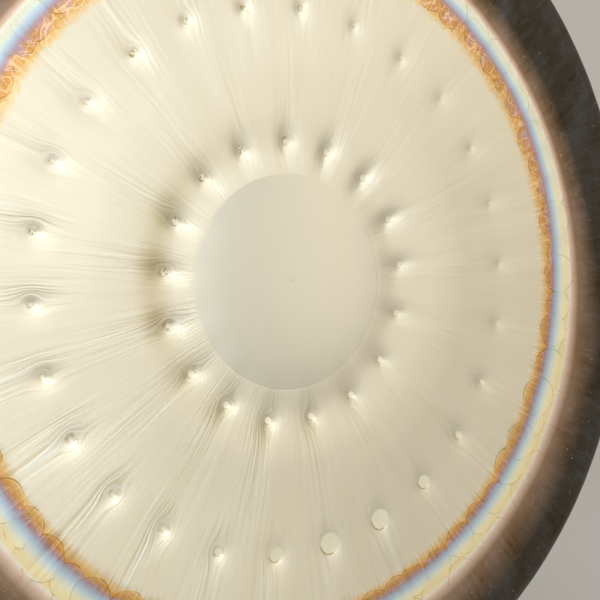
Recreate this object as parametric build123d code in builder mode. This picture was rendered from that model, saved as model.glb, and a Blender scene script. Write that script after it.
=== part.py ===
from build123d import *
from typing import NamedTuple
import math
import os

# A tam tam gong: one hammered bronze sheet with its rim turned back, and the two rubber
# grommets that line its cord holes. The face looks along -Y, +Z is up as the gong hangs,
# and the origin is the middle of its box. Left and right are as seen from the front.

os.makedirs("parts", exist_ok=True)

# --- Driving dimensions, in millimetres and degrees ---

# Overall
gong_diameter = 800.0
gong_depth = 60.0  # from the crown of the face to the back edge of the rim
sheet = 1.6

# Relief of the face: how far each circle lies behind the crown at the middle
centre_disc_radius = 88.0
centre_disc_setback = 1.4
field_setback = 1.8
heat_band_inset = 112.0  # from the gong's edge to the middle of the heat-tinted band
heat_band_setback = 3.0
edge_setback = 11.0
edge_slope = 12.0  # fall of the face where it meets the shoulder
shoulder_radius = 22.0  # outside radius of the turn from face to rim

# Rings of dimples punched into the front, which stand out as pips behind
inner_ring_radius = 114.0
inner_ring_count = 17
inner_ring_start = 8.0  # first dimple, from +X towards +Z
inner_ring_setback = 3.2
inner_dimple_radius = 8.0
inner_dimple_depth = 3.0
outer_ring_inset = 176.5  # from the gong's edge to the outer ring
outer_ring_count = 26
outer_ring_start = 5.3
outer_ring_setback = 3.0
outer_dimple_radius = 9.0
outer_dimple_depth = 2.4

# Cord holes through the rim, and their grommets
cord_hole_angle = 27.0  # each side of the top
cord_hole_radius = 6.5
grommet_bore_radius = 4.0
grommet_flange_radius = 9.5
grommet_flange_thickness = 2.0
grommet_flange_round = 0.8
groove_clearance = 0.1

# --- Places worked out from them ---

gong_radius = gong_diameter / 2
front_y = -gong_depth / 2
back_y = gong_depth / 2

outer_ring_radius = gong_radius - outer_ring_inset
field_radius = (inner_ring_radius + outer_ring_radius) / 2
heat_band_radius = gong_radius - heat_band_inset

slope = math.radians(edge_slope)
shoulder_x = gong_radius - shoulder_radius
shoulder_y = front_y + edge_setback + shoulder_radius * math.cos(slope)
shoulder_fall = (math.cos(slope), math.sin(slope))


def shoulder_start(radius):
    """The point where a shoulder arc of this radius leaves the face."""
    return (shoulder_x + radius * math.sin(slope), shoulder_y - radius * math.cos(slope))


def crown_points(depth):
    """The ends of the centre disc's section, at a depth in the sheet."""
    return [(0, front_y + depth), (centre_disc_radius, front_y + centre_disc_setback + depth)]


def face_points(depth):
    """Points of the section from the centre disc to the shoulder, at a depth in the sheet."""
    relief = (
        (centre_disc_radius, centre_disc_setback),
        (inner_ring_radius, inner_ring_setback),
        (field_radius, field_setback),
        (outer_ring_radius, outer_ring_setback),
        (heat_band_radius, heat_band_setback),
    )
    points = [(radius, front_y + setback + depth) for radius, setback in relief]
    return points + [shoulder_start(shoulder_radius - depth)]


# The rim's straight run starts where the shoulder ends, and the cord holes are halfway along it.
cord_hole_y = (shoulder_y + back_y) / 2

# The rim curves away from the grommet's flat inner flange by its sagitta.
rim_inside = gong_radius - sheet
rim_sagitta = rim_inside - math.sqrt(rim_inside**2 - grommet_flange_radius**2)
groove_width = sheet + rim_sagitta + groove_clearance


def cord_hole_plane(angle):
    """A plane on the rim's outer face at this angle from the top, with its normal outwards."""
    out = Vector(math.sin(math.radians(angle)), 0, math.cos(math.radians(angle)))
    return Plane(origin=out * gong_radius + Vector(0, cord_hole_y, 0), x_dir=(0, 1, 0), z_dir=out)


cord_holes = {
    "left_grommet": cord_hole_plane(-cord_hole_angle),
    "right_grommet": cord_hole_plane(cord_hole_angle),
}

# --- Gong plate ---


class DimpleRing(NamedTuple):
    """A ring of dimples, each the mark of a ball that sinks `depth` into the sheet."""

    radius: float
    count: int
    start: float
    setback: float
    dimple_radius: float
    depth: float

    def ball_radius(self):
        return (self.dimple_radius**2 + self.depth**2) / (2 * self.depth)

    def ball_y(self):
        return front_y + self.setback + self.depth - self.ball_radius()


dimple_rings = (
    DimpleRing(
        inner_ring_radius,
        inner_ring_count,
        inner_ring_start,
        inner_ring_setback,
        inner_dimple_radius,
        inner_dimple_depth,
    ),
    DimpleRing(
        outer_ring_radius,
        outer_ring_count,
        outer_ring_start,
        outer_ring_setback,
        outer_dimple_radius,
        outer_dimple_depth,
    ),
)


def make_pip(ring):
    """The back of a dimple: the cap of a ball one sheet larger than the one that marks it."""
    with BuildPart() as pip:
        Sphere(ring.ball_radius() + sheet)
        mid_sheet = Plane.XY.offset(ring.depth - sheet / 2 - ring.ball_radius())
        split(bisect_by=mid_sheet, keep=Keep.BOTTOM)
    return pip.part


pips = [make_pip(ring) for ring in dimple_rings]

with BuildPart() as gong_plate:
    # The sheet's section, turned about the gong's axis
    with BuildSketch(Plane.XY):
        with BuildLine():
            crown = TangentArc(*crown_points(0.0), tangent=(1, 0))
            front = Spline(*face_points(0.0), tangents=(crown % 1, shoulder_fall))
            shoulder = TangentArc(front @ 1, (gong_radius, shoulder_y), tangent=front % 1)
            rim = Line(shoulder @ 1, (gong_radius, back_y))
            edge = Line(rim @ 1, (rim_inside, back_y))
            rim_back = Line(edge @ 1, (rim_inside, shoulder_y))
            crown_back = TangentArc(*crown_points(sheet), tangent=(1, 0))
            back = Spline(*face_points(sheet), tangents=(crown_back % 1, shoulder_fall))
            TangentArc(back @ 1, rim_back @ 1, tangent=back % 1)
            Line(crown @ 0, crown_back @ 0)
        make_face()
    revolve(axis=Axis.Y)

    # Each dimple is a ball's mark in front and a pip behind, so the sheet keeps its thickness
    for ring, pip in zip(dimple_rings, pips):
        with Locations(Plane.XZ.offset(-ring.ball_y())):
            with PolarLocations(ring.radius, ring.count, start_angle=ring.start):
                add(pip)
            with PolarLocations(ring.radius, ring.count, start_angle=ring.start):
                Sphere(ring.ball_radius(), mode=Mode.SUBTRACT)

    # Cord holes through the rim
    for plane in cord_holes.values():
        with BuildSketch(plane):
            Circle(cord_hole_radius)
        extrude(amount=shoulder_radius / 2, both=True, mode=Mode.SUBTRACT)

gong_plate.part.label = "gong_plate"
export_step(gong_plate.part, "parts/gong_plate.step")

# --- Grommets: a neck in the cord hole between two flanges, bored for the cord ---

flange_top = grommet_flange_thickness
flange_bottom = -groove_width - grommet_flange_thickness

for name, plane in cord_holes.items():
    with BuildPart() as grommet:
        # The section's local X runs across the hole, and its Y out along the hole's axis
        with BuildSketch(Plane(plane.origin, x_dir=plane.x_dir, z_dir=-plane.y_dir)) as section:
            with BuildLine():
                Polyline(
                    (grommet_bore_radius, flange_top),
                    (grommet_flange_radius, flange_top),
                    (grommet_flange_radius, 0),
                    (cord_hole_radius, 0),
                    (cord_hole_radius, -groove_width),
                    (grommet_flange_radius, -groove_width),
                    (grommet_flange_radius, flange_bottom),
                    (grommet_bore_radius, flange_bottom),
                    close=True,
                )
            make_face()
            fillet(section.vertices().group_by(Axis.X)[-1], grommet_flange_round)
        revolve(axis=Axis(plane.origin, plane.z_dir))
    grommet.part.label = name
    export_step(grommet.part, f"parts/{name}.step")
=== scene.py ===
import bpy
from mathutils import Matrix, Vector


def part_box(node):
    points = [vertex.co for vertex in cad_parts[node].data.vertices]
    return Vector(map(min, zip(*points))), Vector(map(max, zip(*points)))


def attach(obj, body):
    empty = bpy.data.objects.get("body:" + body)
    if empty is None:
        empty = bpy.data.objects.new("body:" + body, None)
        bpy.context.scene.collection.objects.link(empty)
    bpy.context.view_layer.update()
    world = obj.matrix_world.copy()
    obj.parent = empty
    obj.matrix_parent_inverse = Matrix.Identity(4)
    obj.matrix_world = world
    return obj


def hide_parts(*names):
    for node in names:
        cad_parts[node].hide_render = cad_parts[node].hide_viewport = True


bl_info = {
    "name": "Tam Tam Gong",
    "version": (1, 0, 0),
    "blender": (4, 5, 0),
    "location": "View3D > Sidebar > Gong",
    "description": "Hammers, punches, scrapes and heat-tints a gong's plate, and lights it",
    "category": "Add Mesh",
}

import math
import random

import bmesh
import bpy
import numpy as np
from bpy.props import FloatProperty, FloatVectorProperty, IntProperty, PointerProperty
from mathutils import Matrix, Vector, noise

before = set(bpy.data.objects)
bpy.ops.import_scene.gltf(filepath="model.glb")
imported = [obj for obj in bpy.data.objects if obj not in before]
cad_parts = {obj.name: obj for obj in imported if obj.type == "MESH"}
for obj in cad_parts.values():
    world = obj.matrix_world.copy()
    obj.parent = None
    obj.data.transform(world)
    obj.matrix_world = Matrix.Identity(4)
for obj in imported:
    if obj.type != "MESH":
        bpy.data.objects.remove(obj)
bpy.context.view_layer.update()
PLATE_LOW, PLATE_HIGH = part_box("gong_plate")

MM = 0.001
TURN = 2 * math.pi
HAMMER_SETS = ("blow_a", "blow_b", "blow_c", "blow_d")  # later blows come first
FAR = 3.0  # distances from a mark are kept up to this many of its radii
ROW_GAP = 1.45  # from one row of hammer blows to the next, in radii of a blow
SLOW_WAVES = 11  # in a metre of the face


# ---------------------------------------------------------------- properties


def length(name, description, default):
    """A size in metres."""
    return FloatProperty(name=name, description=description, default=default, unit="LENGTH")


def angle(name, description, degrees):
    """An angle, given in degrees."""
    return FloatProperty(
        name=name, description=description, default=math.radians(degrees), unit="ROTATION"
    )


def share(name, description, default):
    """A number from 0 to 1."""
    return FloatProperty(
        name=name, description=description, default=default, min=0.0, max=1.0, subtype="FACTOR"
    )


def colour(name, description, red, green, blue):
    """A colour, given as it looks on a screen, from 0 to 255."""
    shown = np.array((red, green, blue)) / 255
    linear = np.where(shown <= 0.04045, shown / 12.92, ((shown + 0.055) / 1.055) ** 2.4)
    return FloatVectorProperty(
        name=name,
        description=description,
        default=tuple(float(c) for c in linear),
        size=3,
        min=0.0,
        max=1.0,
        subtype="COLOR",
    )


class GongSizes(bpy.types.PropertyGroup):
    """The plate's section and its marks. Setbacks are measured behind the crown of the face."""

    sheet: length("Sheet", "Thickness of the bronze sheet", 1.6 * MM)
    disc_radius: length("Disc", "Radius of the smooth disc at the middle", 88 * MM)
    disc_setback: length("Disc setback", "How far the disc's edge lies back", 1.7 * MM)
    shoulder_radius: length("Shoulder", "Outside radius of the turn from face to rim", 22 * MM)
    edge_setback: length("Edge setback", "How far the face lies back at the shoulder", 11 * MM)
    edge_slope: angle("Edge slope", "Fall of the face where it meets the shoulder", 12)
    scribe_depth: length("Scribed line", "Depth of the line round the disc", 0.05 * MM)
    prick_depth: length("Centre prick", "Depth of the compass prick", 0.15 * MM)

    inner_radius: length("Inner ring", "Radius of the inner ring of dimples", 114 * MM)
    inner_count: IntProperty(name="Inner dimples", description="Dimples in it", default=17)
    inner_start: angle("Inner start", "First dimple, from +X towards +Z", 8.0)
    inner_trough: length("Inner trough", "Setback of the face at the inner ring", 2.9 * MM)
    outer_radius: length("Outer ring", "Radius of the outer ring of dimples", 223.5 * MM)
    outer_count: IntProperty(name="Outer dimples", description="Dimples in it", default=26)
    outer_start: angle("Outer start", "First dimple, from +X towards +Z", 5.3)
    outer_trough: length("Outer trough", "Setback of the face at the outer ring", 3.0 * MM)

    band_radius: length("Heat band", "Radius of the ring of hammer blows", 293 * MM)
    blow_radius: length("Hammer blow", "Radius of one hammer mark", 17 * MM)
    blow_pitch: length("Blow pitch", "Distance from one blow to the next", 27 * MM)
    blow_depth: length("Blow depth", "Depth of one hammer mark", 0.3 * MM)
    cord_hole_radius: length("Cord hole", "Radius of the two holes in the rim", 6.5 * MM)
    edge_round: length("Edge round", "Rounding of the rim's two edges", 0.45 * MM)
    cloud_height: length("Unevenness", "Height of the face's slow waves", 0.25 * MM)

    segments: IntProperty(name="Segments", description="Faces round the plate", default=320)


class GongFinish(bpy.types.PropertyGroup):
    """Colours of the bronze, from the middle to the rim, and of the grommets."""

    disc: colour("Disc", "Smooth centre disc", 223, 219, 201)
    # Paler than the field: the punch's polish, and a painted reflection
    polish_and_sheen: colour("Polished", "Flat facets left by the punch", 255, 247, 222)
    champagne: colour("Champagne", "Scraped field", 237, 229, 206)
    # Painted light laid on the lower left of the field
    painted: colour("Worn", "Field where it is worn bright", 251, 243, 219)
    honey: colour("Honey", "First heat tint", 238, 214, 168)
    amber: colour("Amber", "Second heat tint", 234, 190, 118)
    rust: colour("Rust", "Third heat tint", 214, 156, 84)
    mauve: colour("Mauve", "Fourth heat tint", 184, 152, 158)
    blue: colour("Blue", "Fifth heat tint", 186, 202, 220)
    ice: colour("Ice", "Sixth heat tint", 220, 234, 232)
    straw: colour("Straw", "Seventh heat tint", 246, 240, 206)
    gold: colour("Gold", "Eighth heat tint", 255, 238, 188)
    peach: colour("Peach", "Threads in the heat tints", 255, 220, 180)
    cream: colour("Cream", "Bright line at the edge of the tints", 255, 246, 226)
    rose: colour("Rose", "Last heat tint", 236, 206, 184)
    umber: colour("Umber", "Thin fire scale", 158, 130, 104)
    bister: colour("Bister", "Middling fire scale", 124, 102, 80)
    scale: colour("Fire scale", "Thick fire scale", 76, 70, 60)
    rubber: colour("Rubber", "Grommets", 40, 40, 42)
    disc_roughness: share("Disc roughness", "Roughness of the centre disc", 0.28)
    field_roughness: share("Field roughness", "Roughness of the scraped field", 0.38)
    scale_roughness: share("Scale roughness", "Roughness of the fire scale", 0.5)
    back_roughness: share("Back roughness", "Roughness of the forged back", 0.42)
    rubber_roughness: share("Rubber roughness", "Roughness of the grommets", 0.58)


class StageSettings(bpy.types.PropertyGroup):
    """The camera and the studio."""

    azimuth: angle("Azimuth", "Camera's place round the gong, from the front", -32.55)
    elevation: angle("Elevation", "Camera's height round the gong", 0.87)
    roll: angle("Roll", "Camera's turn about its own line of sight", 1.21)
    distance: length("Distance", "Camera to the point it looks at", 1.178)
    aim: FloatVectorProperty(
        name="Aim",
        description="The point of the face that the camera looks at",
        default=(0.011, PLATE_LOW.y + 0.003, -0.0147),
        subtype="XYZ",
    )
    lens: FloatProperty(
        name="Lens", description="Focal length", default=86.2, unit="CAMERA", min=1.0
    )
    room_light: FloatProperty(name="Room", description="Light of the pale room", default=0.465)
    floor: colour("Floor", "Plain pale floor", 226, 224, 219)
    floor_roughness: share("Floor roughness", "Roughness of the floor", 0.8)
    floor_size: length("Floor size", "Width of the floor", 14.0)


# ------------------------------------------------------------------- shaping


def smooth_curve(knots, at):
    """Height at each place of a smooth curve through (place, height) knots."""
    places, heights = np.array(knots).T
    slopes = np.gradient(heights, places)
    slopes[0] = 0.0
    low = np.clip(np.searchsorted(places, at, side="right") - 1, 0, len(places) - 2)
    span = places[low + 1] - places[low]
    t = (at - places[low]) / span
    rise = heights[low + 1] - heights[low]
    bend_in = span * slopes[low] - rise
    bend_out = rise - span * slopes[low + 1]
    straight = heights[low] + t * rise
    return straight + t * (1 - t) * ((1 - t) * bend_in + t * bend_out)


def ease(t):
    """0 below 0, 1 above 1, and a smooth step between."""
    t = np.clip(t, 0.0, 1.0)
    return t * t * (3 - 2 * t)


def setback(sizes, radius):
    """How far the face lies behind its crown at each radius, without its marks."""
    shoulder_in = PLATE_HIGH.x - sizes.shoulder_radius * (1 - math.sin(sizes.edge_slope))
    disc, inner, outer = sizes.disc_radius, sizes.inner_radius, sizes.outer_radius
    band = sizes.band_radius
    knots = (
        (0.0, 0.0),
        (0.5 * disc, 0.17 * sizes.disc_setback),
        (0.8 * disc, 0.53 * sizes.disc_setback),
        (disc, sizes.disc_setback),
        (inner - 4 * MM, sizes.inner_trough),
        (inner + 5 * MM, sizes.inner_trough - 0.4 * MM),
        (inner + 20 * MM, sizes.inner_trough - 1.5 * MM),
        ((inner + outer) / 2, sizes.inner_trough - 1.8 * MM),
        (outer - 24 * MM, sizes.outer_trough - 0.85 * MM),
        (outer, sizes.outer_trough - 0.2 * MM),
        (outer + 27 * MM, sizes.outer_trough + 0.05 * MM),
        (band, sizes.outer_trough - 0.1 * MM),
        (band + 22 * MM, sizes.outer_trough - 0.5 * MM),
        (band + 37 * MM, sizes.outer_trough + 0.1 * MM),
        (band + 54 * MM, sizes.outer_trough + 1.9 * MM),
        (shoulder_in, sizes.edge_setback),
        (PLATE_HIGH.x, sizes.edge_setback + 4.0 * MM),
    )
    return smooth_curve(knots, radius)


def section(sizes, depth, radii, arc_steps, rim_steps):
    """Points of the plate's section at a depth in the sheet, from the middle to the rim's edge."""
    turn_radius = sizes.shoulder_radius - depth
    turn_x = PLATE_HIGH.x - sizes.shoulder_radius
    turn_y = (
        PLATE_LOW.y + sizes.edge_setback + sizes.shoulder_radius * math.cos(sizes.edge_slope)
    )
    reach = turn_x + turn_radius * math.sin(sizes.edge_slope)
    radii = np.array([r for r in radii if r < reach - 2 * MM])
    points = list(zip(radii, PLATE_LOW.y + setback(sizes, radii) + depth))
    for step in range(arc_steps + 1):
        around = (math.pi / 2 - sizes.edge_slope) * (1 - step / arc_steps)
        points.append(
            (turn_x + turn_radius * math.cos(around), turn_y - turn_radius * math.sin(around))
        )
    for step in range(1, rim_steps + 1):
        y = turn_y + (PLATE_HIGH.y - turn_y) * step / rim_steps
        points.append((turn_x + turn_radius, y))
    return points


def spin_section(bm, front, back, segments):
    """Turns the section about the gong's axis. A layer says which side a vertex is on."""
    side = bm.verts.layers.float.new("side")
    line = [bm.verts.new((x, y, 0.0)) for x, y in (*front, *reversed(back))]
    for index, v in enumerate(line):
        v[side] = 1.0 if index < len(front) else -1.0
    edges = [bm.edges.new(pair) for pair in zip(line, line[1:])]
    bmesh.ops.spin(
        bm,
        geom=line + edges,
        cent=(0, 0, 0),
        axis=(0, 1, 0),
        angle=TURN,
        steps=segments,
        use_merge=True,
    )
    bmesh.ops.remove_doubles(bm, verts=bm.verts, dist=1e-6)
    return side


def refine(bm, side, wanted, cuts):
    """Divides the front faces that are wanted by their centre's angle and radius."""
    front = [f for f in bm.faces if min(v[side] for v in f.verts) > 0]
    x, _, z = np.array([f.calc_center_median() for f in front]).T
    chosen = np.nonzero(wanted(np.arctan2(z, x), np.hypot(x, z)))[0]
    edges = list({e for index in chosen for e in front[index].edges})
    bmesh.ops.subdivide_edges(bm, edges=edges, cuts=cuts, use_grid_fill=True)


# ------------------------------------------------------------------ dimples


def towards(direction, elsewhere, there, sharpness):
    """A value that changes towards one side of a ring."""

    def value(round_angle):
        facing = max(0.0, math.cos(round_angle - direction))
        return elsewhere + (there - elsewhere) * facing**sharpness

    return value


scraping = towards(math.radians(-142), 0.42, 1.0, 0.6)  # hardest at the lower left


class Dimples:
    """A ring of punched dimples. Each has a flat facet at its bottom, as wide as its punch."""

    def __init__(self, radius, count, start, facet, blow, wall, depths, seed):
        chance = random.Random(seed)
        self.radius, self.count, self.start = radius, count, start
        self.pitch = TURN / count
        self.wander_out = np.array([chance.uniform(-1.0, 1.0) * MM for _ in range(count)])
        self.wander_round = np.array([chance.uniform(-0.8, 0.8) * MM for _ in range(count)])
        self.facet = np.array([facet(start + k * self.pitch) for k in range(count)])
        self.wall = wall
        self.wall_depth, self.dish_depth, self.fold_depth = depths
        self.worked = np.array([scraping(start + k * self.pitch) for k in range(count)])
        force = np.array([chance.uniform(0.88, 1.12) for _ in range(count)])
        force *= [blow(start + k * self.pitch) for k in range(count)]
        self.force = force / (1 + (self.facet - self.facet.min()) / (12 * MM))

    def nearest(self, round_angle, out):
        """Which dimple is nearest, and how far away it is round the ring and outwards."""
        steps = np.rint((round_angle - self.start) / self.pitch)
        which = steps.astype(int) % self.count
        off = round_angle - self.start - steps * self.pitch
        around = off * out - self.wander_round[which]
        return which, around, out - self.radius - self.wander_out[which]

    def window(self, around, out):
        """1 at a dimple, and 0 half way to the next."""
        half = np.maximum(0.5 * self.pitch * out, 1 * MM)
        return np.cos(0.5 * math.pi * np.clip(around / half, -1, 1)) ** 2

    def depth(self, round_angle, out):
        """How deep the sheet is driven: a pit in a dish, and a fold that runs outwards."""
        which, around, outward = self.nearest(round_angle, out)
        away = np.maximum(0.0, np.hypot(around, outward) - self.facet[which])
        pit = self.wall_depth * np.exp(-away / self.wall)
        dish = self.dish_depth * np.exp(-((away / (15 * MM)) ** 2))
        reach = np.where(outward > 0, 34 * MM, 15 * MM)
        fold = self.fold_depth * np.exp(-((around / (7 * MM)) ** 2) - (outward / reach) ** 2)
        return self.force[which] * self.window(around, out) * (pit + dish + fold)

    def punch_place(self, round_angle, out):
        """Place right and up from the nearest dimple's middle, in radii of its facet. The third
        number is 0 near the dimple and FAR away from it."""
        which, around, outward = self.nearest(round_angle, out)
        right = outward * np.cos(round_angle) - around * np.sin(round_angle)
        up = outward * np.sin(round_angle) + around * np.cos(round_angle)
        place = np.stack((right, up)) / self.facet[which]
        beyond = ease(np.hypot(*place) - (FAR - 1))
        return np.stack((*(place * (1 - beyond)), FAR * beyond), 1)

    def pleats(self, round_angle, out):
        """How strongly the scraped lines show: most on one side of a dimple and outwards."""
        which, around, outward = self.nearest(round_angle, out)
        reach = np.where(outward > 0, 80 * MM, 26 * MM)
        beside = (around + 6 * MM) / (14 * MM)
        strength = np.exp(-(beside**2) - (outward / reach) ** 2)
        return self.force[which] * strength * self.worked[which]

    def part_scratches(self, round_angle, out, reach):
        """How far the scraped lines are pushed aside, as an angle, where they pass a dimple."""
        _, around, outward = self.nearest(round_angle, out)
        away = around**2 + outward**2 + 0.35 * reach**2
        aside = self.window(around, out) * around * reach**2 / away
        return -aside / np.maximum(out, 1 * MM)


def dimple_rings(sizes):
    """The inner and the outer ring."""
    inner = Dimples(
        sizes.inner_radius,
        sizes.inner_count,
        sizes.inner_start,
        facet=lambda round_angle: 3.0 * MM,
        blow=towards(math.radians(-25), 1.0, 0.7, 2),
        wall=7.0 * MM,
        depths=(2.1 * MM, 0.5 * MM, 0.35 * MM),
        seed=17,
    )
    outer = Dimples(
        sizes.outer_radius,
        sizes.outer_count,
        sizes.outer_start,
        facet=towards(math.radians(-72), 2.2 * MM, 9.4 * MM, 9),
        blow=towards(math.radians(20), 1.0, 0.3, 2),
        wall=6.0 * MM,
        depths=(1.6 * MM, 0.4 * MM, 0.3 * MM),
        seed=26,
    )
    return inner, outer


# ---------------------------------------------------------- hammer blows


def blow_rows(sizes, first, loose, seed):
    """Rows of hammer blows out to the rim, each blow as its angle, radius and size."""
    chance = random.Random(seed)
    rows = []
    out = first
    while out < PLATE_HIGH.x + 34 * MM:
        count = 2 * max(3, round(math.pi * out / sizes.blow_pitch))
        start = chance.uniform(0, TURN)
        row = [
            (
                start + TURN * (k + chance.uniform(-loose, loose)) / count,
                out + chance.uniform(-loose, loose) * sizes.blow_radius,
                sizes.blow_radius * chance.uniform(0.84, 1.1),
            )
            for k in range(count)
        ]
        rows.append(row)
        out += ROW_GAP * sizes.blow_radius
    return rows


def blow_distances(rows, round_angle, out):
    """For each of the four sets, the distance from its nearest blow in blow radii."""
    sets = [np.full(len(out), FAR) for _ in HAMMER_SETS]
    for index, row in enumerate(rows):
        centres = np.array(row)
        order = np.argsort(centres[:, 0] % TURN)
        for parity in (0, 1):
            chosen = centres[order][parity::2]
            angles = chosen[:, 0] % TURN
            spot = np.searchsorted(angles, round_angle % TURN)
            best = np.full(len(out), FAR)
            for side in (-1, 0):
                near = chosen[(spot + side) % len(chosen)]
                turn = (round_angle - near[:, 0] + math.pi) % TURN - math.pi
                away = np.hypot(turn * near[:, 1], out - near[:, 1]) / near[:, 2]
                best = np.minimum(best, away)
            place = 2 * (index % 2) + parity
            sets[place] = np.minimum(sets[place], best)
    return sets


# --------------------------------------------------------------- the plate


def plate_radii(sizes):
    """Where the front's rings of vertices lie: close where the marks are fine."""
    line = sizes.disc_radius
    fine = [0.0, 0.7 * MM, 1.4 * MM, 5 * MM, 14 * MM]
    fine += list(np.arange(24 * MM, line - 3 * MM, 8 * MM))
    fine += [line - 1.2 * MM, line - 0.5 * MM, line, line + 0.5 * MM, line + 1.2 * MM]
    middle = list(np.arange(line + 4 * MM, 256 * MM, 4 * MM))
    outer = list(np.arange(middle[-1] + 5 * MM, PLATE_HIGH.x, 6.6 * MM))
    return fine + middle + outer


def shape_plate(mesh, sizes, rings):
    """Sinks the dimples and the hammer blows, and stores what the finish follows."""
    count = len(mesh.vertices)
    places = np.zeros(count * 3)
    mesh.vertices.foreach_get("co", places)
    x, y, z = places.reshape(-1, 3).T.copy()
    side = np.zeros(count)
    mesh.attributes["side"].data.foreach_get("value", side)
    mesh.attributes.remove(mesh.attributes["side"])
    front = side > 0

    # Divided edges are chords of the plate's circles: this puts their middles back on them
    step = TURN / sizes.segments
    round_angle = np.arctan2(z, x)
    off = (round_angle % step) - step / 2
    out = np.hypot(x, z) * np.cos(off) / math.cos(step / 2)

    turn_in = PLATE_HIGH.x - sizes.shoulder_radius * (1 - math.sin(sizes.edge_slope))
    on_face = out < turn_in - 2.5 * MM
    face_y = PLATE_LOW.y + setback(sizes, out) + np.where(front, 0.0, sizes.sheet)
    y = np.where(on_face, face_y, y)

    # Distance along the section: past the shoulder it runs on down the rim
    run = out + np.where(on_face, 0.0, np.maximum(0.0, y - PLATE_LOW.y - sizes.edge_setback))

    drive = sum(ring.depth(round_angle, out) for ring in rings)
    drive += sizes.scribe_depth * (np.abs(out - sizes.disc_radius) < 0.2 * MM) * front
    drive += sizes.prick_depth * np.clip(1 - out / (1.4 * MM), 0, 1) * front
    waves = [Vector((SLOW_WAVES * a, 3.0, SLOW_WAVES * b)) for a, b in zip(x.tolist(), z.tolist())]
    clouds = [noise.noise(wave) for wave in waves]
    uneven = ease((out - sizes.disc_radius) / (30 * MM))
    drive += sizes.cloud_height * (np.array(clouds) + 1) * uneven

    front_blows = blow_distances(blow_rows(sizes, sizes.band_radius, 0.2, 5), round_angle, run)
    back_blows = blow_distances(blow_rows(sizes, 26 * MM, 0.35, 9), round_angle, run)
    blows = [np.where(front, a, b) for a, b in zip(front_blows, back_blows)]
    bowl = np.max([1 - np.minimum(distance, 1.0) ** 2 for distance in blows], axis=0)
    for centre, _ in cord_holes():
        away = np.hypot(np.hypot(x - centre.x, z - centre.z), y - centre.y)
        bowl *= ease((away - 1.5 * sizes.cord_hole_radius) / (8 * MM))
    bowl *= ease((PLATE_HIGH.y - y) / (6 * MM))  # the rim's edge stays true

    # On the face blows sink along the axis, and past the shoulder they sink towards it. The
    # back's are deeper, as it wasn't scraped
    shoulder_length = 1.36 * sizes.shoulder_radius
    tilt = np.clip((run - turn_in) / shoulder_length, 0, 1) * math.pi / 2
    sink = sizes.blow_depth * bowl * np.where(front, 1.0, -2.0)
    out = out - sink * np.sin(tilt)
    y = y + np.where(on_face, drive, 0.0) + sink * np.cos(tilt)
    moved = np.stack((out * np.cos(round_angle), y, out * np.sin(round_angle)), 1)
    mesh.vertices.foreach_set("co", moved.ravel())

    parted = round_angle.copy()
    for ring, reach in zip(rings, (9.5 * MM, 9.0 * MM)):
        parted += ring.part_scratches(round_angle, out, reach)
    grain = np.stack((np.cos(parted), np.sin(parted), run), 1)
    inner_punch, outer_punch = (ring.punch_place(round_angle, out) for ring in rings)
    punch = np.where(inner_punch[:, 2:] < FAR, inner_punch, outer_punch)
    pleats = np.max([ring.pleats(round_angle, out) for ring in rings], axis=0)
    store(mesh, "grain", "FLOAT_VECTOR", "vector", grain)
    store(mesh, "run", "FLOAT", "value", run)
    store(mesh, "punch", "FLOAT_VECTOR", "vector", punch)
    store(mesh, "pleat", "FLOAT", "value", pleats)
    for name, distance in zip(HAMMER_SETS, blows):
        store(mesh, name, "FLOAT", "value", distance)
    mesh.update()


def store(mesh, name, kind, field, values):
    """Keeps a value at each vertex, for the materials."""
    mesh.attributes.new(name, kind, "POINT").data.foreach_set(field, np.ravel(values))


def cord_holes():
    """Centre and outward direction of each cord hole, from the grommets that sit in them."""
    holes = []
    for node in ("left_grommet", "right_grommet"):
        low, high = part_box(node)
        middle = (low + high) / 2
        outward = Vector((middle.x, 0, middle.z)).normalized()
        holes.append((outward * PLATE_HIGH.x + Vector((0, middle.y, 0)), outward))
    return holes


def drill(bm, sizes, sides=16):
    """Cuts the two cord holes through the rim."""
    for centre, outward in cord_holes():
        across = Vector((0, 1, 0))
        along = outward.cross(across)
        reach = 2.2 * sizes.cord_hole_radius
        near = [f for f in bm.faces if (f.calc_center_median() - centre).length < reach]
        for k in range(sides):
            turn = TURN * k / sides
            normal = across * math.cos(turn) + along * math.sin(turn)
            edges = {e for f in near for e in f.edges}
            corners = {v for f in near for v in f.verts}
            cut = bmesh.ops.bisect_plane(
                bm,
                geom=[*near, *edges, *corners],
                plane_co=centre + normal * sizes.cord_hole_radius,
                plane_no=normal,
            )
            near = [g for g in cut["geom"] if isinstance(g, bmesh.types.BMFace)]

        def off_axis(point):
            away = point - centre
            return (away - outward * away.dot(outward)).length

        inside = [f for f in near if off_axis(f.calc_center_median()) < sizes.cord_hole_radius]
        bmesh.ops.delete(bm, geom=inside, context="FACES")
        bmesh.ops.bridge_loops(bm, edges=[e for e in bm.edges if e.is_boundary])


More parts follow.
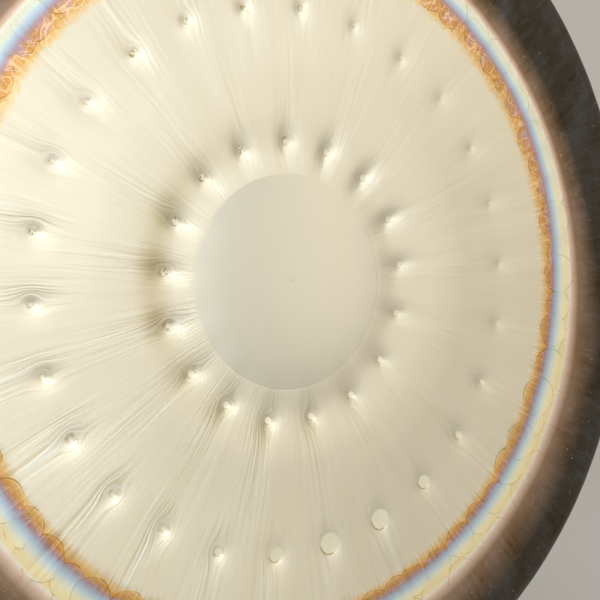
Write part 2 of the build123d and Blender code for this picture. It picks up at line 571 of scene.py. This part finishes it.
def build_plate(sizes):
    """The whole plate as one closed mesh: face, shoulder, rim and back."""
    bm = bmesh.new()
    back_radii = [0.0] + list(np.arange(6 * MM, PLATE_HIGH.x, 6 * MM))
    front = section(sizes, 0.0, plate_radii(sizes), 6, 4)
    back = section(sizes, sizes.sheet, back_radii, 3, 4)
    side = spin_section(bm, front, back, sizes.segments)

    last = PLATE_HIGH.y - 1e-6
    edges = [e for e in bm.edges if min(v.co.y for v in e.verts) > last]
    bmesh.ops.bevel(
        bm,
        geom=[e for e in edges if e.verts[0][side] == e.verts[1][side]],
        offset=sizes.edge_round,
        segments=2,
        profile=0.5,
        affect="EDGES",
        material=-1,
    )

    rings = dimple_rings(sizes)
    refine(bm, side, lambda turn, out: out > sizes.band_radius - 30 * MM, cuts=1)

    def near_dimple(turn, out):
        near = np.zeros(len(out), bool)
        for ring in rings:
            which, around, outward = ring.nearest(turn, out)
            near |= np.hypot(around, outward) < ring.facet[which] + 8 * MM
        return near

    refine(bm, side, near_dimple, cuts=2)
    drill(bm, sizes)
    bmesh.ops.dissolve_degenerate(bm, dist=1e-6, edges=bm.edges)
    bmesh.ops.recalc_face_normals(bm, faces=bm.faces)

    for f in bm.faces:
        f.smooth = True
        f.material_index = 0 if min(v[side] for v in f.verts) > 0 else 1
    mesh = bpy.data.meshes.new("hammered_plate")
    bm.to_mesh(mesh)
    bm.free()
    shape_plate(mesh, sizes, rings)
    return mesh


# --------------------------------------------------------------- materials


# The Mix node has sockets of several kinds under the same names: these are its colours
MIX_FIRST, MIX_SECOND, MIX_RESULT = 6, 7, 2


class Finish:
    """A material under construction: adds nodes and links what each is given."""

    def __init__(self, name):
        self.material = bpy.data.materials.new(name)
        self.material.use_nodes = True
        self.tree = self.material.node_tree
        self.shader = self.tree.nodes["Principled BSDF"]

    def node(self, kind, inputs=(), **settings):
        """A new node, with its inputs set or linked."""
        made = self.tree.nodes.new("ShaderNode" + kind)
        for name, value in settings.items():
            setattr(made, name, value)
        for socket, value in dict(inputs).items():
            self.set(made.inputs[socket], value)
        return made

    def set(self, socket, value):
        """Links a socket's value to it, or sets a plain one."""
        if isinstance(value, bpy.types.NodeSocket):
            self.tree.links.new(value, socket)
        else:
            socket.default_value = value

    def maths(self, operation, *values):
        """The result of a Math node."""
        made = self.node("Math", operation=operation)
        for socket, value in zip(made.inputs, values):
            self.set(socket, value)
        return made.outputs[0]

    def total(self, *values):
        """The sum of several values."""
        result = values[0]
        for value in values[1:]:
            result = self.maths("ADD", result, value)
        return result

    def product(self, *values):
        """Several values multiplied together."""
        result = values[0]
        for value in values[1:]:
            result = self.maths("MULTIPLY", result, value)
        return result

    def scaled(self, value, by, offset=0.0):
        """A value times a number, plus an offset."""
        return self.maths("MULTIPLY_ADD", value, by, offset)

    def step(self, value, low, high, at_low=0.0, at_high=1.0):
        """A smooth step from at_low to at_high as the value goes from low to high."""
        ends = {"From Min": low, "From Max": high, "To Min": at_low, "To Max": at_high}
        made = self.node("MapRange", {"Value": value, **ends}, interpolation_type="SMOOTHSTEP")
        return made.outputs["Result"]

    def kept(self, name, output="Fac"):
        """What the mesh keeps under this name."""
        return self.node("Attribute", attribute_name=name).outputs[output]

    def stretched(self, vector, scale):
        """A vector with each of its parts scaled."""
        made = self.node("VectorMath", {0: vector, 1: scale}, operation="MULTIPLY")
        return made.outputs["Vector"]

    def distance(self, vector, point):
        """How far a place is from a point."""
        made = self.node("VectorMath", {0: vector, 1: point}, operation="DISTANCE")
        return made.outputs["Value"]

    def cloud(self, vector, scale, detail=2.0, roughness=0.5, curl=0.0):
        """Noise around 0, from about -0.5 to 0.5."""
        grain = {"Scale": scale, "Detail": detail, "Roughness": roughness, "Distortion": curl}
        made = self.node("TexNoise", {"Vector": vector, **grain})
        return self.maths("SUBTRACT", made.outputs["Fac"], 0.5)

    def mixed(self, amount, first, second, blend="MIX"):
        """The first colour at an amount of 0, and the second at 1."""
        made = self.node("Mix", data_type="RGBA", blend_type=blend)
        self.set(made.inputs["Factor"], amount)
        self.set(made.inputs[MIX_FIRST], first)
        self.set(made.inputs[MIX_SECOND], second)
        return made.outputs[MIX_RESULT]

    def tints(self, value, stops, low, high):
        """A ramp of colours over a value that goes from low to high."""
        place = self.node("MapRange", {"Value": value, "From Min": low, "From Max": high})
        ramp = self.node("ValToRGB", {"Fac": place.outputs["Result"]})
        bar = ramp.color_ramp.elements
        while len(bar) < len(stops):
            bar.new(0.5)
        for element, (at, tint) in zip(bar, stops):
            element.position = (at - low) / (high - low)
            element.color = (*tint, 1.0)
        return ramp.outputs["Color"]

    def shaded(self, tint, shade):
        """A colour made lighter and paler, or darker and warmer."""
        red = self.maths("POWER", shade, 0.8)
        blue = self.maths("POWER", shade, 1.6)
        grey = self.node("CombineColor", {0: red, 1: shade, 2: blue}).outputs["Color"]
        return self.mixed(1.0, tint, grey, "MULTIPLY")

    def coat(self, tint, roughness, metallic):
        """Gives the shader its colour, roughness and metal."""
        self.set(self.shader.inputs["Base Color"], tint)
        self.set(self.shader.inputs["Roughness"], roughness)
        self.set(self.shader.inputs["Metallic"], metallic)

    def bump(self, height):
        """Raises the surface by a height in metres."""
        made = self.node("Bump", {"Height": height, "Distance": 1.0, "Strength": 1.0})
        self.set(self.shader.inputs["Normal"], made.outputs["Normal"])


def opaque(tint):
    """A colour with nothing seen through it, as a socket takes it."""
    return (*tint, 1.0)


def tint_stops(sizes, finish):
    """Heat tints by distance along the section, outwards from the heat band's inner edge."""
    start = sizes.band_radius - 23 * MM
    steps = (
        (0, finish.champagne),
        (3, finish.honey),
        (7.5, finish.amber),
        (12.5, finish.rust),
        (17, finish.mauve),
        (21, finish.blue),
        (26, finish.ice),
        (30.5, finish.straw),
        (34.5, finish.gold),
        (38, finish.gold),
        (41, finish.cream),
        (45, finish.rose),
        (54, finish.umber),
        (70, finish.bister),
        (90, finish.scale),
    )
    return [(start + at * MM, tint) for at, tint in steps]


def blow_edges(f):
    """The hammer blows' lips, and where no blow fell: up to their edges, and to just inside."""
    lips, clear, clear_inside = 0.0, 1.0, 1.0
    for name in HAMMER_SETS:
        distance = f.kept(name)
        near_lip = f.maths("ABSOLUTE", f.maths("SUBTRACT", distance, 0.97))
        lip = f.product(f.step(near_lip, 0.0, 0.045, 1.0, 0.0), clear)
        lips = f.total(lips, lip)
        clear = f.product(clear, f.step(distance, 0.93, 1.0))
        clear_inside = f.product(clear_inside, f.step(distance, 0.84, 0.90))
    return lips, clear, clear_inside


def line_at_half(f, zone):
    """1 where a zone is half way from 0 to 1, and 0 at both ends."""
    return f.scaled(f.product(zone, f.maths("SUBTRACT", 1.0, zone)), 4.0)


class ScrapedBronze(Finish):
    """Bronze of the front: smooth disc, scraped field, heat tints and fire scale."""

    def __init__(self, sizes, finish):
        super().__init__("scraped_bronze")
        self.sizes, self.finish, self.band = sizes, finish, sizes.band_radius
        self.place = self.node("TexCoord").outputs["Object"]
        apart = self.node("SeparateXYZ", {0: self.place})
        self.to_right, self.height_up = apart.outputs["X"], apart.outputs["Z"]
        self.grain, self.run = self.kept("grain", "Vector"), self.kept("run")
        self.lips, self.clear, self.clear_inside = blow_edges(self)
        self.mark_zones()
        self.mark_facets()
        self.mark_lines()
        self.mark_threads()

    def mark_zones(self):
        """Where the disc, the tints, and the top and bottom of the face are."""
        line, band = self.sizes.disc_radius, self.band
        self.on_disc = self.step(self.run, line + 0.4 * MM, line - 0.4 * MM)
        self.off_disc = self.maths("SUBTRACT", 1.0, self.on_disc)
        self.in_amber = self.step(self.run, band - 1 * MM, band - 9 * MM)
        self.in_tints = self.product(
            self.step(self.run, band - 24 * MM, band - 17 * MM), self.in_amber
        )
        self.high_up = self.step(self.height_up, -0.10, 0.25)
        self.low_down = self.step(self.height_up, 0.0, -0.10)

    def mark_facets(self):
        """The punches' facets: their flats, a painted shadow line under each flat, and a painted
        highlight beside it.
        """
        punch = self.kept("punch", "Vector")
        apart = self.node("SeparateXYZ", {0: punch})
        right, up = apart.outputs["X"], apart.outputs["Y"]
        away = self.node("VectorMath", {0: punch}, operation="LENGTH").outputs["Value"]
        ragged = self.scaled(self.cloud(self.place, 190.0, 2.0), 0.22)
        self.from_punch = self.total(away, ragged)
        self.on_facet = self.step(self.from_punch, 1.06, 0.97)
        near_edge = self.maths("ABSOLUTE", self.maths("SUBTRACT", self.from_punch, 1.04))
        # Painted shadow along each flat's lower edge, and a painted highlight dot at its lower
        # right
        under = self.step(self.total(up, self.scaled(right, 0.35)), -0.35, -0.8)
        self.facet_shadow_line = self.product(self.step(near_edge, 0.0, 0.12, 1.0, 0.0), under)
        self.facet_highlight = self.step(self.distance(punch, (0.62, -0.86, 0.0)), 0.0, 0.2, 1.0, 0.0)

    def mark_lines(self):
        """Scraped lines: fine hairs, strands and broad swathes along the parted grain."""
        self.hair = self.cloud(self.stretched(self.grain, (210, 210, 18)), 1.0, 3.0)
        self.strand = self.cloud(self.stretched(self.grain, (88, 88, 13)), 1.0, 3.0)
        self.swathe = self.cloud(self.stretched(self.grain, (15, 15, 6)), 1.0, 2.0)
        self.clouds = self.cloud(self.place, 9.0, 3.0)
        self.mottle = self.cloud(self.place, 60.0, 4.0, 0.6)
        self.tongues = self.cloud(self.place, 48.0, 1.5, 0.5, curl=0.8)
        self.scraped = self.product(self.off_disc, self.maths("SUBTRACT", 1.0, self.on_facet))
        self.tuft = self.product(self.scaled(self.kept("pleat"), 1.8, 0.14), self.scraped)

    def mark_threads(self):
        """Threads in the tints: arcs in the hammer marks, and curls where the flame licked."""
        blows = self.node("CombineXYZ", {i: self.kept(HAMMER_SETS[i]) for i in range(3)})
        self.arcs = self.cloud(self.stretched(blows.outputs["Vector"], (4, 4, 2)), 1.0, 1.0)
        curls = self.cloud(self.place, 50.0, 1.0, 0.5, curl=1.2)
        arc_thread = self.step(self.maths("ABSOLUTE", self.arcs), 0.0, 0.04, 1.0, 0.0)
        curl_thread = self.step(self.maths("ABSOLUTE", curls), 0.0, 0.05, 1.0, 0.0)
        licked = self.step(self.run, self.band - 30 * MM, self.band - 19 * MM)
        licked = self.product(licked, self.in_amber)
        self.thread = self.product(self.maths("MAXIMUM", arc_thread, curl_thread), licked)

    def heat(self):
        """The distance along the section that the tints follow. Their inner edge follows the
        hammer blows and frays along the scraped lines, and the scale starts nearer to the
        middle at the top."""
        band = self.band
        fray = self.total(
            self.scaled(self.strand, 7 * MM),
            self.scaled(self.hair, 3 * MM),
            self.scaled(self.tongues, 9 * MM),
            self.scaled(self.arcs, 5 * MM),
        )
        frayed = self.product(fray, self.in_amber, self.scaled(self.high_up, 0.7, 0.45))
        early = self.product(self.step(self.run, band - 4 * MM, band - 16 * MM), self.high_up)
        violet = self.product(
            self.step(self.run, band - 15 * MM, band - 7 * MM),
            self.step(self.run, band + 12 * MM, band + 2 * MM),
            self.high_up,
        )
        outside = self.maths("MAXIMUM", self.maths("SUBTRACT", self.run, band + 5 * MM), 0.0)
        return self.total(
            self.run,
            self.product(self.clear, self.in_amber, -3.5 * MM),
            frayed,
            self.scaled(self.clouds, 4 * MM),
            self.scaled(early, 4.5 * MM),
            self.scaled(violet, -3 * MM),
            self.scaled(self.product(outside, self.high_up), 0.95),
        )

    def tinted(self, heat):
        """The bronze's colours, before they are shaded."""
        sizes, finish, band = self.sizes, self.finish, self.band
        bronze = self.tints(heat, tint_stops(sizes, finish), band - 30 * MM, PLATE_HIGH.x)

        # Painted light: the lower left of the field is lightened
        painted = self.product(
            self.step(self.height_up, -0.04, -0.16),
            self.step(self.to_right, 0.13, -0.02),
            self.step(self.run, sizes.outer_radius - 75 * MM, sizes.outer_radius - 20 * MM),
            self.step(self.run, band - 16 * MM, band - 24 * MM),
        )
        bronze = self.mixed(painted, bronze, opaque(finish.painted))

        # At the top the gold is paler
        past_blue = self.product(
            self.step(heat, band + 2 * MM, band + 9 * MM),
            self.step(heat, band + 21 * MM, band + 15 * MM),
        )
        paler = self.scaled(self.product(past_blue, self.high_up), 0.6)
        bronze = self.mixed(paler, bronze, opaque(finish.ice))
        peach = self.product(self.thread, self.scaled(self.high_up, 0.5, 0.25))
        bronze = self.mixed(peach, bronze, opaque(finish.peach))
        # Facets in the lower half are paler: their polish, and a painted reflection
        polish_and_sheen = self.product(self.on_facet, self.low_down)
        bronze = self.mixed(polish_and_sheen, bronze, opaque(finish.polish_and_sheen))
        return self.mixed(self.on_disc, bronze, opaque(finish.disc))

    def bruise_and_shade(self):
        """Dark specks round the small facets at the upper left of the face: metal bruised by the
        punch's first blows, and painted shade.
        """
        return self.product(
            self.step(self.from_punch, 1.5, 0.9),
            self.step(self.to_right, 0.06, -0.03),
            self.step(self.low_down, 0.9, 0.0),
            self.step(self.cloud(self.place, 380.0, 1.0), 0.03, 0.12),
        )

    def painted_shade(self):
        """Painted shade on the metal just outside the inner ring, most of all at the left."""
        circle = self.sizes.inner_radius + 11 * MM
        from_circle = self.maths("ABSOLUTE", self.maths("SUBTRACT", self.run, circle))
        deepest_shade = (-circle - 5 * MM, PLATE_LOW.y, 20 * MM)
        side = self.total(
            self.step(self.height_up, 0.07, -0.02, 0.0, 0.25),
            self.step(self.distance(self.place, deepest_shade), 0.11, 0.03, 0.0, 0.7),
        )
        near_pleats = self.scaled(self.kept("pleat"), 0.9, 0.5)
        return self.product(self.step(from_circle, 20 * MM, 0.0), side, near_pleats)

    def shade(self, on_scale):
        """How light or dark the bronze is, around 1. Crescents are dark just outside a hammer
        mark and bright just inside, with gaps."""
        broken = self.step(self.cloud(self.place, 75.0, 2.0), -0.12, 0.1)
        crescent = self.product(line_at_half(self, self.clear), self.in_amber, broken)
        inner_line = self.product(line_at_half(self, self.clear_inside), self.in_amber)
        flaked = self.cloud(self.stretched(self.grain, (60, 60, 30)), 1.0, 4.0, 0.65)
        blotch = self.cloud(self.place, 26.0, 3.0)
        outer_lips = self.product(self.lips, self.maths("SUBTRACT", broken, self.in_amber))
        lines = self.total(self.scaled(self.hair, 0.2), self.scaled(self.strand, 0.48))
        fibres = self.total(
            self.scaled(self.hair, 0.8),
            self.scaled(self.strand, 0.4),
            self.scaled(self.tongues, 0.35),
        )
        patches = self.total(self.scaled(blotch, 1.6), self.scaled(flaked, 1.1))
        return self.total(
            1.0,
            self.product(lines, self.tuft),
            self.product(self.scaled(self.swathe, 0.08), self.off_disc),
            self.scaled(self.clouds, 0.05),
            # painted shade just outside the inner ring
            self.product(self.scaled(self.painted_shade(), -0.28), self.scraped),
            self.product(self.scaled(self.mottle, 0.22), self.on_facet),
            # painted shadow line under each facet, and a painted highlight dot at its lower right
            self.scaled(self.facet_shadow_line, -0.55),
            self.scaled(self.facet_highlight, 0.3),
            # dark specks round the small facets: bruised metal, and painted shade
            self.scaled(self.bruise_and_shade(), -0.5),
            self.scaled(crescent, -0.6),
            self.scaled(inner_line, 0.2),
            self.product(fibres, self.in_tints),
            self.product(outer_lips, self.scaled(on_scale, 0.8, -0.3)),
            self.product(patches, on_scale),
        )

    def roughness(self, on_scale):
        """Smoothest on the disc, and roughest on the fire scale."""
        finish = self.finish
        lines = self.total(self.scaled(self.hair, 0.18), self.scaled(self.strand, 0.12))
        return self.total(
            finish.field_roughness,
            self.scaled(self.on_disc, finish.disc_roughness - finish.field_roughness),
            self.scaled(on_scale, finish.scale_roughness - finish.field_roughness),
            self.scaled(self.on_facet, 0.07),
            self.product(lines, self.tuft),
        )

    def relief(self, on_scale):
        """The finest heights, in metres."""
        lines = self.total(self.scaled(self.hair, 0.05 * MM), self.scaled(self.strand, 0.28 * MM))
        return self.total(
            self.product(lines, self.tuft),
            self.product(self.scaled(self.swathe, 0.12 * MM), self.scraped),
            self.scaled(self.step(self.from_punch, 1.25, 1.0), -0.12 * MM),
            self.scaled(self.product(self.clear, self.in_amber), 0.07 * MM),
            self.scaled(self.thread, 0.03 * MM),
            self.scaled(self.lips, 0.02 * MM),
            self.product(self.scaled(self.mottle, 0.20 * MM), on_scale),
        )


def face_material(sizes, finish):
    """The scraped bronze, put together on the shader's sockets."""
    f = ScrapedBronze(sizes, finish)
    heat = f.heat()
    on_scale = f.step(heat, f.band + 18 * MM, f.band + 50 * MM)
    bronze = f.shaded(f.tinted(heat), f.shade(on_scale))
    chips = f.step(f.cloud(f.place, 420.0, 1.0), 0.27, 0.30)
    bronze = f.mixed(f.product(chips, on_scale), bronze, opaque(finish.rose))
    f.coat(bronze, f.roughness(on_scale), metallic=1.0)
    f.bump(f.relief(on_scale))
    return f.material


def back_material(sizes, finish):
    """Bronze of the back and of the rim's edge: fire scale as it came from the forge."""
    f = Finish("forged_bronze")
    place = f.node("TexCoord").outputs["Object"]
    depth = f.node("SeparateXYZ", {0: place}).outputs["Y"]
    run = f.kept("run")
    clouds = f.cloud(place, 8.0, 4.0, 0.6)
    mottle = f.cloud(place, 55.0, 4.0, 0.6)
    lips, clear, _ = blow_edges(f)
    heat = f.total(run, f.scaled(clouds, 60 * MM), f.scaled(mottle, 12 * MM))
    faint = [0.7 * a + 0.3 * b for a, b in zip(finish.bister, finish.mauve)]
    stops = (
        (0.0, finish.umber),
        (sizes.outer_radius - 20 * MM, finish.bister),
        (sizes.band_radius - 25 * MM, finish.umber),
        (sizes.band_radius, faint),
        (sizes.band_radius + 15 * MM, finish.bister),
        (sizes.band_radius + 50 * MM, finish.scale),
    )
    bronze = f.tints(heat, stops, 0.0, PLATE_HIGH.x)
    shade = f.total(
        1.0,
        f.scaled(clouds, 0.7),
        f.scaled(mottle, 0.7),
        f.scaled(lips, -0.12),
        f.scaled(clear, -0.1),
    )
    bare = f.step(depth, PLATE_HIGH.y - 1.0 * MM, PLATE_HIGH.y - 0.4 * MM)
    bronze = f.mixed(bare, f.shaded(bronze, shade), opaque(finish.champagne))
    roughness = f.total(finish.back_roughness, f.scaled(mottle, 0.25), f.scaled(bare, -0.1))
    f.coat(bronze, roughness, metallic=1.0)
    f.bump(f.total(f.scaled(mottle, 0.25 * MM), f.scaled(lips, 0.15 * MM)))
    return f.material


def rubber_material(finish):
    """Black moulded rubber with a dusty bloom."""
    f = Finish("grommet_rubber")
    place = f.node("TexCoord").outputs["Object"]
    bloom = f.cloud(place, 260.0, 4.0, 0.6)
    speck = f.cloud(place, 1400.0, 2.0)
    dusty = [min(1.0, 2.2 * c + 0.02) for c in finish.rubber]
    rubber = f.mixed(f.step(bloom, -0.1, 0.3), opaque(finish.rubber), opaque(dusty))
    f.coat(rubber, f.total(finish.rubber_roughness, f.scaled(bloom, 0.35)), metallic=0.0)
    f.bump(f.total(f.scaled(bloom, 0.05 * MM), f.scaled(speck, 0.02 * MM)))
    return f.material


# --------------------------------------------------------------- operators


def add_object(name, data):
    """A new object at the origin."""
    made = bpy.data.objects.new(name, data)
    bpy.context.scene.collection.objects.link(made)
    return made


class GONG_OT_plate(bpy.types.Operator):
    """Hammer the bronze plate: face, dimples, heat band, shoulder, rim and back"""

    bl_idname = "gong.plate"
    bl_label = "Gong Plate"

    def execute(self, context):
        sizes, finish = context.scene.gong_sizes, context.scene.gong_finish
        mesh = build_plate(sizes)
        mesh.materials.append(face_material(sizes, finish))
        mesh.materials.append(back_material(sizes, finish))
        plate = add_object("hammered_plate", mesh)
        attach(plate, "root")
        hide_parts("gong_plate")
        return {"FINISHED"}


class GONG_OT_grommets(bpy.types.Operator):
    """Give the two grommets their rubber"""

    bl_idname = "gong.grommets"
    bl_label = "Grommets"

    def execute(self, context):
        rubber = rubber_material(context.scene.gong_finish)
        for node in ("left_grommet", "right_grommet"):
            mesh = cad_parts[node].data
            mesh.materials.clear()
            mesh.materials.append(rubber)
        return {"FINISHED"}


class GONG_OT_stage(bpy.types.Operator):
    """Set the floor, the studio lights and the camera"""

    bl_idname = "gong.stage"
    bl_label = "Studio"

    def execute(self, context):
        settings = context.scene.gong_stage
        lay_floor(settings)
        light_room(context.scene, settings)
        for panel in PANELS:
            hang_panel(*panel)
        set_camera(context.scene, settings)
        return {"FINISHED"}


COOL_LIGHT = (0.86, 0.93, 1.0)
WARM_LIGHT = (1.0, 0.93, 0.83)
LOW_PANEL = 20.0  # degrees up

# Soft light panels: name, azimuth and elevation in degrees, distance, width and height in
# metres, brightness and colour
PANELS = (
    ("key_panel", -3.0, 12.0, 2.0, 0.45, 0.55, 4.5, COOL_LIGHT),
    ("fill_panel", 12.0, 1.0, 2.0, 0.80, 0.85, 0.92, COOL_LIGHT),
    ("side_panel", 37.0, 6.0, 3.0, 0.78, 1.6, 0.80, WARM_LIGHT),
    ("high_panel", 27.0, 38.0, 3.0, 2.0, 1.6, 1.35, COOL_LIGHT),
    ("left_panel", -37.5, 39.5, 3.0, 1.92, 1.66, 2.7, COOL_LIGHT),
)


def toward(azimuth, elevation):
    """The direction from the gong to a place round it, where azimuth 0 is in front."""
    level = math.cos(elevation)
    return Vector(
        (math.sin(azimuth) * level, -math.cos(azimuth) * level, math.sin(elevation))
    )


def hang_panel(name, azimuth, elevation, distance, width, height, brightness, tint):
    """A soft light that faces the gong's middle."""
    light = bpy.data.lights.new(name, "AREA")
    light.color = tint
    light.shape = "RECTANGLE"
    light.size, light.size_y = width, height
    light.energy = brightness * math.pi * width * height
    panel = add_object(name, light)
    place = toward(math.radians(azimuth), math.radians(elevation)) * distance
    panel.location = place
    panel.rotation_euler = place.to_track_quat("Z", "Y").to_euler()
    panel.visible_diffuse = elevation > LOW_PANEL  # a low one would leave a patch on the floor


def lay_floor(settings):
    """A plain floor under the gong."""
    bm = bmesh.new()
    bmesh.ops.create_grid(bm, x_segments=1, y_segments=1, size=settings.floor_size / 2)
    bmesh.ops.translate(bm, verts=bm.verts, vec=(0, 0, PLATE_LOW.z))
    mesh = bpy.data.meshes.new("floor")
    bm.to_mesh(mesh)
    bm.free()
    f = Finish("pale_floor")
    f.coat(opaque(settings.floor), settings.floor_roughness, metallic=0.0)
    mesh.materials.append(f.material)
    add_object("floor", mesh)


def light_room(scene, settings):
    """Fills the room with pale light."""
    scene.world = bpy.data.worlds.new("pale_room")
    scene.world.use_nodes = True
    background = scene.world.node_tree.nodes["Background"]
    background.inputs["Color"].default_value = opaque(WARM_LIGHT)
    background.inputs["Strength"].default_value = settings.room_light
    scene.view_settings.view_transform = "Standard"


def set_camera(scene, settings):
    """Stands the camera at its place round the gong, turned by its roll."""
    aim = Vector(settings.aim)
    back = toward(settings.azimuth, settings.elevation)
    level = Vector((0, 0, 1)).cross(back).normalized()
    turned = Matrix.Rotation(settings.roll, 3, back)
    right = turned @ level
    up = back.cross(right)
    data = bpy.data.cameras.new("camera")
    data.lens = settings.lens
    camera = add_object("camera", data)
    place = Matrix((right, up, back)).transposed().to_4x4()
    place.translation = aim + back * settings.distance
    camera.matrix_world = place
    scene.camera = camera


class GONG_PT_panel(bpy.types.Panel):
    """Lists the gong's sizes, finishes and operators"""

    bl_label = "Tam Tam Gong"
    bl_idname = "GONG_PT_panel"
    bl_space_type = "VIEW_3D"
    bl_region_type = "UI"
    bl_category = "Gong"

    def draw(self, context):
        for operator in OPERATORS:
            self.layout.operator(operator.bl_idname)
        for group in (
            context.scene.gong_sizes,
            context.scene.gong_finish,
            context.scene.gong_stage,
        ):
            box = self.layout.box()
            for name in group.__annotations__:
                box.prop(group, name)


OPERATORS = (GONG_OT_plate, GONG_OT_grommets, GONG_OT_stage)
CLASSES = (GongSizes, GongFinish, StageSettings, *OPERATORS, GONG_PT_panel)


def register():
    for cls in CLASSES:
        bpy.utils.register_class(cls)
    bpy.types.Scene.gong_sizes = PointerProperty(type=GongSizes)
    bpy.types.Scene.gong_finish = PointerProperty(type=GongFinish)
    bpy.types.Scene.gong_stage = PointerProperty(type=StageSettings)


def unregister():
    del bpy.types.Scene.gong_stage
    del bpy.types.Scene.gong_finish
    del bpy.types.Scene.gong_sizes
    for cls in reversed(CLASSES):
        bpy.utils.unregister_class(cls)


def main():
    register()
    bpy.ops.gong.plate()
    bpy.ops.gong.grommets()
    bpy.ops.gong.stage()


if __name__ == "__main__":
    main()
